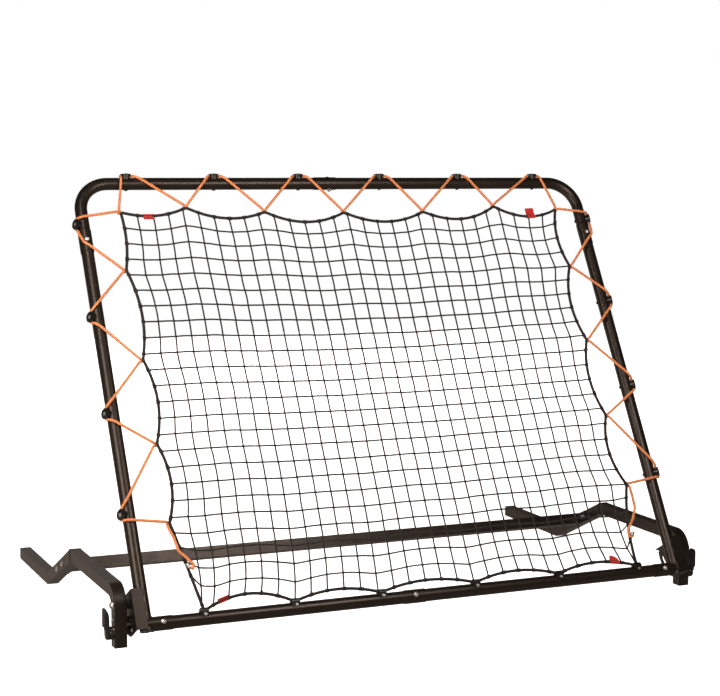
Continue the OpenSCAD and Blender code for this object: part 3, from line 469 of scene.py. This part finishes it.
def zinc_plate():
    plate = new_finish("zinc")
    cloud = plate.spread(plate.noise(scale=120, detail=4), 0.3, 0.7)
    scratch = plate.noise(scale=1600, detail=2, rough=0.5)
    return plate.surface(
        base_color=plate.mix(cloud, zinc_dull, zinc_bright), metallic=1.0,
        roughness=plate.spread(cloud, 0, 1, to_low=0.50, to_high=0.36),
        normal=plate.bump(scratch, depth=0.02 * mm))


zinc = zinc_plate()
dress([
    "crossbar_bolts", "crossbar_nuts", "left_pivot_bolt", "right_pivot_bolt", "pivot_washers",
    "pivot_nuts", "guide_bolts", "guide_washers", "guide_nuts", "left_clamp_bolt",
    "right_clamp_bolt", "clamp_washers", "thrust_washers", "post_sleeves", "left_lever_screw",
    "right_lever_screw", "frame_bolts", "frame_nuts", "button_screws", "clip_screws"], zinc)

# ---- Caps, spacers and clamp levers --------------------------------------------
# Injection-moulded black plastic with a fine spark-eroded texture. Each lever is moulded
# round a turned brass insert that runs on the clamp bolt.

plastic_black = rgb(0.0060, 0.0055, 0.0052)
plastic_grey = rgb(0.0105, 0.0098, 0.0092)
brass_clean = rgb(0.72, 0.52, 0.24)
brass_brown = rgb(0.50, 0.34, 0.15)


def moulded_plastic(name, rough_low, rough_high, grain):
    plastic = new_finish(name)
    tone = plastic.spread(plastic.noise(scale=25, detail=3), 0.3, 0.7)
    patches = plastic.noise(scale=60, detail=4)
    texture = plastic.noise(scale=grain, detail=2, rough=0.5)
    return plastic.surface(
        base_color=plastic.mix(tone, plastic_black, plastic_grey),
        roughness=plastic.spread(patches, 0.3, 0.7, rough_low, rough_high),
        normal=plastic.bump(texture, depth=0.04 * mm), ior=1.49)


def turned_brass():
    brass = new_finish("brass")
    tone = brass.spread(brass.noise(scale=150, detail=4), 0.3, 0.7)
    return brass.surface(
        base_color=brass.mix(tone, brass_brown, brass_clean), metallic=1.0,
        roughness=brass.spread(tone, 0, 1, to_low=0.36, to_high=0.24),
        normal=brass.bump(brass.noise(scale=1500), depth=0.02 * mm))


dress([
    "left_foot_cap", "right_foot_cap", "left_rear_cap", "right_rear_cap",
    "left_clamp_lever", "right_clamp_lever", "pivot_spacers", "guide_spacers", "clamp_spacers"],
    moulded_plastic("moulded_plastic", rough_low=0.42, rough_high=0.55, grain=1400))
dress(["left_lever_insert", "right_lever_insert"], turned_brass())

# ---- Cord buttons and net clips ------------------------------------------------
# Glossy black nylon. A button is screwed through the tube, and the cord runs round its
# neck; a clip clamps the net's rope on the bottom tube.

dress(["top_cord_buttons", "left_cord_buttons", "right_cord_buttons", "net_clips"],
      moulded_plastic("nylon", rough_low=0.24, rough_high=0.36, grain=500))

# ---- Border rope ---------------------------------------------------------------
# A plaited black rope that runs round the net. The cord pulls it out at the hooks, and the
# clips hold it at the bottom tube, so that it hangs in arches between them.

net_y = -11
columns, rows = 30, 24
around_net = 2 * (columns + rows)
clip_z = 16
# The rope's loop, from the first clip and against the clock. Each hold has its place in
# meshes along the net's edge, its x and z, and the depth of the arch to the next hold.
bottom_holds = [
    (1.4, -589, clip_z, 31), (7.0, -358, clip_z, 19.5), (12.2, -128, clip_z, 19.5),
    (18.1, 133, clip_z, 20), (23.6, 375, clip_z, 20), (29.0, 611, clip_z, 11)]
right_holds = [
    (34.97, 645, 240, 24.5), (39.53, 638, 442, 22.7), (44.7, 640, 668, 24), (50.0, 648, 896, 17)]
top_holds = [
    (54.0, 650, 1076, 27), (58.3, 453, 1088, 31), (63.6, 229, 1073, 29.5), (69.2, -9, 1073, 29.5),
    (74.55, -237, 1076.5, 25), (79.76, -454, 1091, 17), (84.0, -632, 1079, 8)]
left_holds = [
    (87.7, -642, 914, 19.5), (93.34, -637, 666, 20.5), (98.53, -637, 442, 20.5),
    (103.3, -638, 239, 1)]
loop = np.array(bottom_holds + right_holds + top_holds + left_holds)
hold_marks = np.append(loop[:, 0], loop[0, 0] + around_net)


def edge_point(mark):
    """The rope's place, in x and z, at a number of meshes from the lower left corner."""
    mark = loop[0, 0] + (mark - loop[0, 0]) % around_net
    k = min(np.searchsorted(hold_marks, mark, "right") - 1, len(loop) - 1)
    t = (mark - hold_marks[k]) / (hold_marks[k + 1] - hold_marks[k])
    start, end = loop[k, 1:3], loop[(k + 1) % len(loop), 1:3]
    chord = unit(end - start)
    inward = np.array([-chord[1], chord[0]])
    return start * (1 - t) + end * t + loop[k, 3] * 4 * t * (1 - t) * inward


def edge_points(marks):
    return np.array([edge_point(mark) for mark in marks])


half_meshes = np.arange(2, around_net + 1.5, 0.5)
rope_marks = sorted(set(loop[:, 0]) | set(half_meshes))
rope_line = edge_points(rope_marks + rope_marks[:1])


def at_depth(points, y):
    """Points of x and z, at a depth y."""
    return np.insert(np.asarray(points, float), 1, y, axis=1)


plait_length, plait_low, plait_swell = 9, 0.97, 0.035


def plaited(radius):
    """Radius of a plaited rope: strands cross over it both ways."""
    def size(run, angle):
        turn = 2 * pi * run / plait_length
        crossing = np.abs(np.cos(2 * (angle - turn)) * np.cos(2 * (angle + turn)))
        return radius * (plait_low + plait_swell * crossing)
    return size


yarn_deep = rgb(0.0065, 0.006, 0.006)
rope_pale = rgb(0.020, 0.019, 0.018)
yarn_sheen = 0.08


def fibre_cord(name, pale, ribs):
    """Twisted or braided black yarn: ribs a metre run round the cord."""
    yarn = new_finish(name)
    u, v = yarn.wrapped()
    rib = yarn.sine((v * ribs + u) * (2 * pi)) * 0.5 + 0.5
    fuzz = yarn.noise(scale=1800, detail=3, rough=0.7)
    shade = yarn.spread(rib * 0.6 + fuzz * 0.5, 0.25, 0.85)
    return yarn.surface(
        base_color=yarn.mix(shade, yarn_deep, pale), roughness=0.85, sheen_weight=yarn_sheen,
        sheen_roughness=0.5, normal=yarn.bump(shade, depth=0.25 * mm))


rope_r = 3.9
rope_step, rope_round, rope_sides = 1.5, 4, 16
rope_black = fibre_cord("plaited_rope", rope_pale, ribs=220)
rope_path = eased(at_depth(rope_line, net_y), rope_step, rope_round)
rope = Skin()
rope.tube(rope_path, plaited(rope_r), rope_sides)
border = rope.piece("plaited_border_rope", on_frame, rope_black, "frame")
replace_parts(border, "border_rope")

# ---- Net -----------------------------------------------------------------------
# Black braided twine, knotted by machine into square meshes of about 41 mm. The rope
# pulls its edge into arches, and the meshes between settle where their pulls balance.

mesh_wide, mesh_high = 40.5, 41.5
# a strand pulls by what it is stretched past its mesh, and by this share of its length
slack_pull = 0.06
knot_weight = 0.012
settle_steps, settle_move = 3000, 0.22
rng = np.random.default_rng(11)
grid = np.zeros((columns + 1, rows + 1, 2))
grid[:, 0] = edge_points(range(columns + 1))
grid[columns] = edge_points(range(columns, columns + rows + 1))
grid[:, rows] = edge_points(range(2 * columns + rows, columns + rows - 1, -1))
grid[0] = edge_points(range(around_net, around_net - rows - 1, -1))


def settle(grid):
    """Moves the inner knots to where the strands' pulls and the net's small weight balance.
    A strand pulls once it is taut, and hardly at all before that."""
    share_x = np.linspace(0, 1, columns + 1)[:, None, None]
    share_z = np.linspace(0, 1, rows + 1)[None, :, None]
    low, high, left, right = grid[:, :1], grid[:, -1:], grid[:1], grid[-1:]
    corners = ((1 - share_x) * ((1 - share_z) * grid[0, 0] + share_z * grid[0, -1])
               + share_x * ((1 - share_z) * grid[-1, 0] + share_z * grid[-1, -1]))
    blend = ((1 - share_z) * low + share_z * high
             + (1 - share_x) * left + share_x * right - corners)
    grid[1:-1, 1:-1] = blend[1:-1, 1:-1]
    for _ in range(settle_steps):
        pull = np.zeros_like(grid)
        for axis, rest in ((0, mesh_wide), (1, mesh_high)):
            link = np.diff(grid, axis=axis)
            long = np.linalg.norm(link, axis=2, keepdims=True)
            force = link / long * (np.maximum(long - rest, 0) + slack_pull * long)
            if axis == 0:
                pull[1:-1, 1:-1] += force[1:, 1:-1] - force[:-1, 1:-1]
            else:
                pull[1:-1, 1:-1] += force[1:-1, 1:] - force[1:-1, :-1]
        pull[1:-1, 1:-1, 1] -= knot_weight
        grid += settle_move * pull


settle(grid)

twine_r, twine_sides = 2.1, 6
twine_step, twine_round = 7, 5
twine_bow, twine_weave = 0.5, 0.5


def strand(net, knots):
    """A strand through its knots, bowed a little between them."""
    points = [knots[0]]
    for a, b in zip(knots[:-1], knots[1:]):
        bow = rng.normal(0, twine_bow, 2)
        points += [a * 0.5 + b * 0.5 + bow, b]
    depths = net_y + twine_weave * (-1.0) ** np.arange(len(points))
    net.tube(eased(at_depth(points, depths), twine_step, twine_round), twine_r, twine_sides)


net = Skin()
for i in range(1, columns):
    strand(net, list(grid[i]))
for j in range(1, rows):
    strand(net, list(grid[:, j]))

knot_size, knot_flat, knot_cord, knot_sides = 0.85, 0.8, 1.4, 5
turn = np.linspace(0, 2 * pi, 19)
knot_path = knot_size * np.stack([
    np.sin(turn) + 2 * np.sin(2 * turn),
    -np.sin(3 * turn) * knot_flat,
    np.cos(turn) - 2 * np.cos(2 * turn)], axis=1)
for i in range(1, columns):
    for j in range(1, rows):
        spin = rng.uniform(0, 2 * pi)
        rotate = np.array([[cos(spin), 0, -sin(spin)], [0, 1, 0], [sin(spin), 0, cos(spin)]])
        centre = np.array([grid[i, j, 0], net_y, grid[i, j, 1]])
        net.tube(knot_path @ rotate.T + centre, knot_cord, knot_sides)
twine_pale = rgb(0.022, 0.020, 0.019)
twine_black = fibre_cord("braided_twine", twine_pale, ribs=500)
knotted = net.piece("knotted_net", on_frame, twine_black, "frame")
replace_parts(knotted, "net")

# ---- Whippings -----------------------------------------------------------------
# At each mesh of its edge the twine is wound round the rope and cut off. Here and there
# that leaves a small tuft.

whip_cord, whip_sides = 0.95, 5
whip_turns, whip_pitch, whip_out = 3, 2.3, 0.45
turn_points = 9
tuft_every = 3


def nearest_rope(x, z):
    """The rope's point that is nearest to a place on the net, and its heading there."""
    gaps = np.linalg.norm(rope_path - np.array([x, net_y, z]), axis=1)
    near = np.clip(np.argmin(gaps), 1, len(rope_path) - 2)
    return rope_path[near], unit(rope_path[near + 1] - rope_path[near - 1])


whips = Skin()
edge_knots = np.concatenate([
    grid[1:columns, 0], grid[1:columns, rows], grid[0, 1:rows], grid[columns, 1:rows]])
for k, (x, z) in enumerate(edge_knots):
    centre, heading = nearest_rope(x, z)
    across = unit(np.cross(heading, [0, 1, 0]))
    depth = np.cross(across, heading)
    turns = whip_turns + rng.integers(0, 3)
    angle = np.linspace(0, 2 * pi * turns, turns * turn_points + 1)
    along = (angle / (2 * pi) - turns / 2) * whip_pitch
    coil = centre + along[:, None] * heading + (rope_r + whip_out) * (
        np.cos(angle)[:, None] * across + np.sin(angle)[:, None] * depth)
    whips.tube(coil, whip_cord, whip_sides)
    if k % tuft_every == 1:
        lift = rng.uniform(-1, 1) * across + rng.uniform(-1, 0.2) * depth
        lift = unit(lift + rng.uniform(-0.5, 0.5) * heading)
        root = centre + along[-1] * heading
        tuft = [root + lift * reach for reach in (1.5, 3.0, 5.0, rng.uniform(6, 9))]
        whips.tube(tuft, whip_cord, whip_sides)
whips.piece("twine_whippings", on_frame, twine_black, "frame")

# ---- Bungee cord ---------------------------------------------------------------
# One orange cord of rubber strands in a woven sheath. It is laced from the left side over
# the top to the right side, round a button and through the border's arches in turn, and
# both its ends are tied to the rope.

frame_h = 1168
cord_r = 3.5
side_pitch, side_first = 259, 1046
top_pitch = 241
side_buttons = [side_first - k * side_pitch for k in range(4)]
top_buttons = [(k - 2.5) * top_pitch for k in range(6)]
tail_y = -20
left_tail = [
    (-615, 133), (-610, 123), (-601, 118), (-598, 129), (-611, 144), (-630, 165), (-637, 200)]
right_tail = [(647, 200), (646, 172), (630, 140), (608, 115), (605, 94), (613, 92), (621, 106)]
# The cord's way from behind a button's neck over the tube's front, as along the tube, to
# the back and out from the tube's axis; and its way outside the head of a joint's bolt.
behind_neck = (7, 1.5, tube_r + 4.15)
grip = 15
over_tube = [
    (-9, tube_r + 2.5), (-14.6, tube_r - 1.0), (-18.5, tube_r - 6.2), (-20.5, 3.5), (-20.3, -2.5)]
past_bolt = [
    (20, -9.6, tube_r + 3.7), (38, -15.8, tube_r - 0.6), (54, -19.7, tube_r - 5.6),
    (65, -21.6, -2.7)]
# its turn behind the rope, in the same three ways from the rope's middle
hook_gap, hook_back = 3.6, 6.4
hook_shoulder, hook_mouth = (hook_back - 1.2, 3.2), (0.5, 8)
hook_turn = [
    (-hook_gap, *hook_mouth), (-hook_gap, *hook_shoulder), (0, hook_back, 0),
    (hook_gap, *hook_shoulder), (hook_gap, *hook_mouth)]


def half_wrap(side, button, along, out, hook, at_bolt):
    """One side of the cord's way round a button, from behind its neck towards a hook."""
    offset = hook - button
    front_out = over_tube[0][1]
    slant = (offset @ along - side * grip) / (front_out - offset @ out)
    steps = [(side * behind_neck[0],) + behind_neck[1:]]
    if at_bolt:
        steps += [(side * a, y, o) for a, y, o in past_bolt]
    else:
        steps += [(side * grip + slant * (front_out - o), y, o) for y, o in over_tube]
    return [button + a * along + np.array([0, y, 0]) + o * out for a, y, o in steps]


def behind_rope(hook, along, inward):
    """A tight turn behind the rope, whose two ends come out past it side by side."""
    return [hook + along * a + np.array([0, y, 0]) - inward * o for a, y, o in hook_turn]


def laced():
    """The whole route: the left tail, the hooks and buttons in turn, and the right tail."""
    up, right = np.array([0, 0, 1.0]), np.array([1.0, 0, 0])
    hooks = [(hold, up, right) for hold in left_holds[::-1]]
    hooks.append((top_holds[-1], unit(up + right), unit(right - up)))
    hooks += [(hold, right, -up) for hold in top_holds[-2:0:-1]]
    hooks.append((top_holds[0], unit(right - up), -unit(up + right)))
    hooks += [(hold, -up, -right) for hold in right_holds[::-1]]
    buttons = [(np.array([-side_x, 0, z]), up, -right) for z in side_buttons[::-1]]
    buttons += [(np.array([x, 0, frame_h]), right, up) for x in top_buttons]
    buttons += [(np.array([side_x, 0, z]), -up, right) for z in side_buttons]
    places = [np.array([hold[1], net_y, hold[2]]) for hold, along, inward in hooks]
    upper_left = len(side_buttons) - 1
    upper_right = len(side_buttons) + len(top_buttons)
    route = list(at_depth(left_tail, tail_y))
    for k, (hold, along, inward) in enumerate(hooks):
        route += behind_rope(places[k], along, inward)
        if k < len(buttons):
            route += half_wrap(-1, *buttons[k], places[k], k == upper_left)[::-1]
            route += half_wrap(1, *buttons[k], places[k + 1], k == upper_right)
    return np.array(route + list(at_depth(right_tail, tail_y)))


orange_light = rgb(0.75, 0.275, 0.098)
orange_deep = rgb(0.61, 0.185, 0.058)
sheath_turns, sheath_picks = 8, 330


def woven_sheath():
    """A tubular braid: yarns cross over and under, and show as a fine diamond pattern."""
    sheath = new_finish("bungee_sheath")
    around, along = sheath.wrapped()
    u, v = around * sheath_turns, along * sheath_picks
    weave = sheath.sine((u + v) * (2 * pi)) * sheath.sine((u - v) * (2 * pi)) * 0.5 + 0.5
    cloud = sheath.noise(scale=22, detail=3)
    fuzz = sheath.noise(scale=2500, detail=2)
    shade = sheath.spread(weave * 0.6 + cloud * 0.25 + fuzz * 0.25, 0.25, 0.8)
    return sheath.surface(
        base_color=sheath.mix(shade, orange_deep, orange_light), roughness=0.62,
        sheen_weight=0.15, sheen_roughness=0.4,
        normal=sheath.bump(weave + fuzz * 0.3, depth=0.2 * mm))


cord_step, cord_round, cord_sides = 2.0, 2.2, 14
cord_ridges, ridge_swell = 8, 0.012
orange_cord = woven_sheath()
cord = Skin()
cord.tube(
    eased(laced(), cord_step, cord_round),
    lambda run, angle: cord_r * (1 + ridge_swell * np.cos(cord_ridges * angle + run)), cord_sides)
bungee = cord.piece("laced_bungee", on_frame, orange_cord, "frame")
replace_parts(bungee, "bungee_cord")

# ---- Crimps --------------------------------------------------------------------
# A ring of zinc-plated brass, squeezed round each end of the cord. The pliers leave two
# bands and a row of shallow dents.

crimp_l, crimp_t, crimp_sides = 12, 1.1, 18
band_swell, dent_depth = 0.35, 0.2


def crimped(run, angle):
    band = band_swell * np.cos(4 * pi * run / crimp_l)
    return cord_r + crimp_t + band - dent_depth * np.abs(np.cos(3 * angle))


crimps = Skin()
for tail in (left_tail[:2], right_tail[:-3:-1]):
    end, before = at_depth(tail, tail_y)
    middle, heading = (end + before) / 2, unit(end - before)
    path = [middle + heading * crimp_l * t for t in np.linspace(-0.5, 0.5, 25)]
    crimps.tube(path, crimped, crimp_sides)
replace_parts(crimps.piece("cord_crimps", on_frame, zinc, "frame"), "bungee_clips")

# ---- Corner tags ---------------------------------------------------------------
# Four tabs of red woven tape, each folded over the rope, pressed shut beside it and cut
# off. Three are cut square, and the last one has a rounded corner.

tag_t = 0.9
fold_r, fold_pinch = rope_r + 0.9, 6
# A tab's place on the frame (x, z), its width, its length, the way that it points from the
# rope (degrees up from across, and how far it leans to the front), and whether it is rounded.
# Of its slant across the frame only a share shows, because the rope holds its fold in line.
slant_share = 0.2
tags = [
    ((-561, 1071), 28, 14, -72, 0.5, False),
    ((563, 1076), 26, 25, 88, 0.05, False),
    ((-540, 44), 29, 9, 60, 0.9, False),
    ((548, 37), 28, 16, 90, 0.10, True),
]
tag_red = rgb(0.62, 0.030, 0.022)
tag_shade = rgb(0.36, 0.015, 0.012)
tape_yarns = 900


def woven_tape():
    weaving = new_finish("woven_tape")
    u, v = weaving.wrapped()
    turns = 2 * pi * tape_yarns
    weave = weaving.sine(u * turns) * weaving.sine(v * turns) * 0.5 + 0.5
    cloud = weaving.noise(scale=60, detail=4)
    shade = weaving.spread(weave * 0.6 + cloud * 0.6, 0.2, 0.9)
    return weaving.surface(
        base_color=weaving.mix(shade, tag_shade, tag_red), roughness=0.75, sheen_weight=0.2,
        sheen_roughness=0.4, normal=weaving.bump(weave, depth=0.15 * mm))


def fold(length):
    """The tape's middle line, from the side: up one leaf, round the rope and down the other.
    A point has its way out from the rope and its way to the front."""
    line = []
    for face in (1, -1):
        leaf = [(t * length, face * (tag_t / 2 + (fold_r - tag_t / 2) * (1 - t) ** fold_pinch))
                for t in np.linspace(1, 0.1, 12)]
        bend = [(fold_r * cos(a), face * fold_r * sin(a)) for a in np.linspace(pi / 2, pi, 9)]
        line += leaf + bend if face == 1 else (leaf + bend)[-2::-1]
    return np.array(line)


def closed_strip(count, wide):
    """The faces of a strip of count by wide points with two sides and a rim round them.
    A corner of a face is its side, its place along the strip and its place across."""
    faces = []
    for i in range(count - 1):
        for j in range(wide - 1):
            cell = [(i, j), (i, j + 1), (i + 1, j + 1), (i + 1, j)]
            faces += [[(0, *corner) for corner in cell], [(1, *corner) for corner in cell[::-1]]]
    rim = [(i, 0) for i in range(count)] + [(count - 1, j) for j in range(1, wide)]
    rim += [(i, wide - 1) for i in range(count - 2, -1, -1)]
    rim += [(0, j) for j in range(wide - 2, 0, -1)]
    for a, b in zip(rim, rim[1:] + rim[:1]):
        faces.append([(0, *b), (0, *a), (1, *a), (1, *b)])
    return faces


red_tape = woven_tape()
tape = Skin()
across = np.linspace(-0.5, 0.5, 11)
rounded_past, rounded_least = 1.04, 0.05
for (x, z), width, length, tilt_up, forward, rounded in tags:
    centre, heading = nearest_rope(x, z)
    if heading[0] < 0:
        heading = -heading
    rise = np.array([cos(radians(tilt_up)) * slant_share, -forward, sin(radians(tilt_up))])
    rise = unit(rise - heading * (rise @ heading))
    front = unit(np.cross(heading, rise))
    line = fold(length)
    normals = unit(np.gradient(line, axis=0))[:, ::-1] * (1, -1)
    points = []
    for offset in (tag_t / 2, -tag_t / 2):
        for (r, s), (nr, ns) in zip(line, normals):
            narrow = 1.0
            if rounded:
                share = max(r, 0) / (length * rounded_past)
                narrow = np.sqrt(max(1 - share ** 2, rounded_least))
            for w in across:
                points.append(centre + heading * ((w + 0.5) * narrow - 0.5) * width
                              + rise * (r + nr * offset) + front * (s + ns * offset))
    count, wide = len(line), len(across)
    faces = closed_strip(count, wide)
    numbers = [[(side * count + i) * wide + j for side, i, j in face] for face in faces]
    wraps = [(j / (wide - 1) * width * mm, i / (count - 1) * length * 2 * mm)
             for face in faces for side, i, j in face]
    tape.add(np.array(points), numbers, wraps)
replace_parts(tape.piece("red_tags", on_frame, red_tape, "frame"), "corner_tags")
